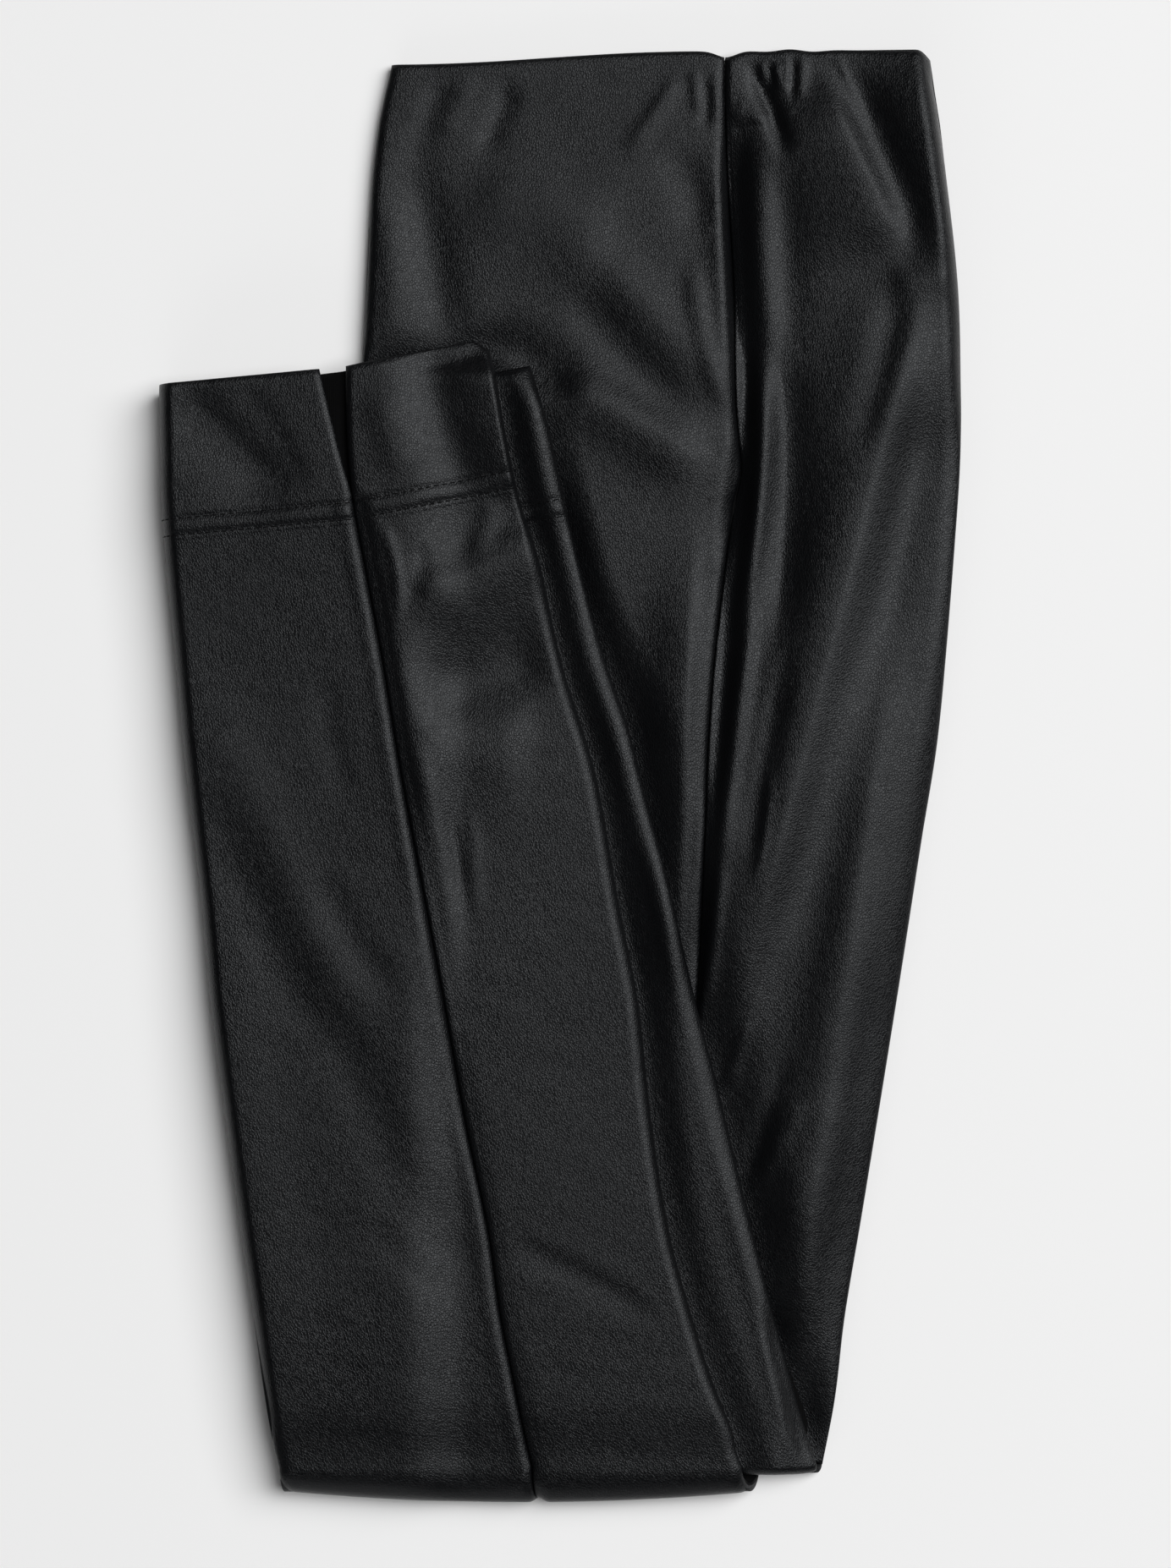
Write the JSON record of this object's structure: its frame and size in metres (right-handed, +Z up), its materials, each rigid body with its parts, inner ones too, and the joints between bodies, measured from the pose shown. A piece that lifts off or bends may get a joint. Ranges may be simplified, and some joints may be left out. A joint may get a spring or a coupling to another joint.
{
  "type": "leather trousers, folded",
  "caption": "Black leather-look pull-on trousers, folded leg on leg and once across, lying flat on a surface",
  "frame": {"origin": "centre of the bounding box, on the surface that the trousers lie on", "axes": "+X from the front creases to the back creases of the legs, +Y from the fold to the waist, +Z up from the surface"},
  "size_m": [0.2895, 0.5245, 0.0228],
  "materials": {
    "leather": "semi-gloss, fine pebble grain",
    "backing": "matte brushed jersey"
  },
  "bodies": {
    "root": {"right_front": "leather", "right_back": "leather", "left_front": "leather", "left_back": "leather", "left_back_folded": "leather", "inner_layers": "backing"}
  },
  "joints": []
}
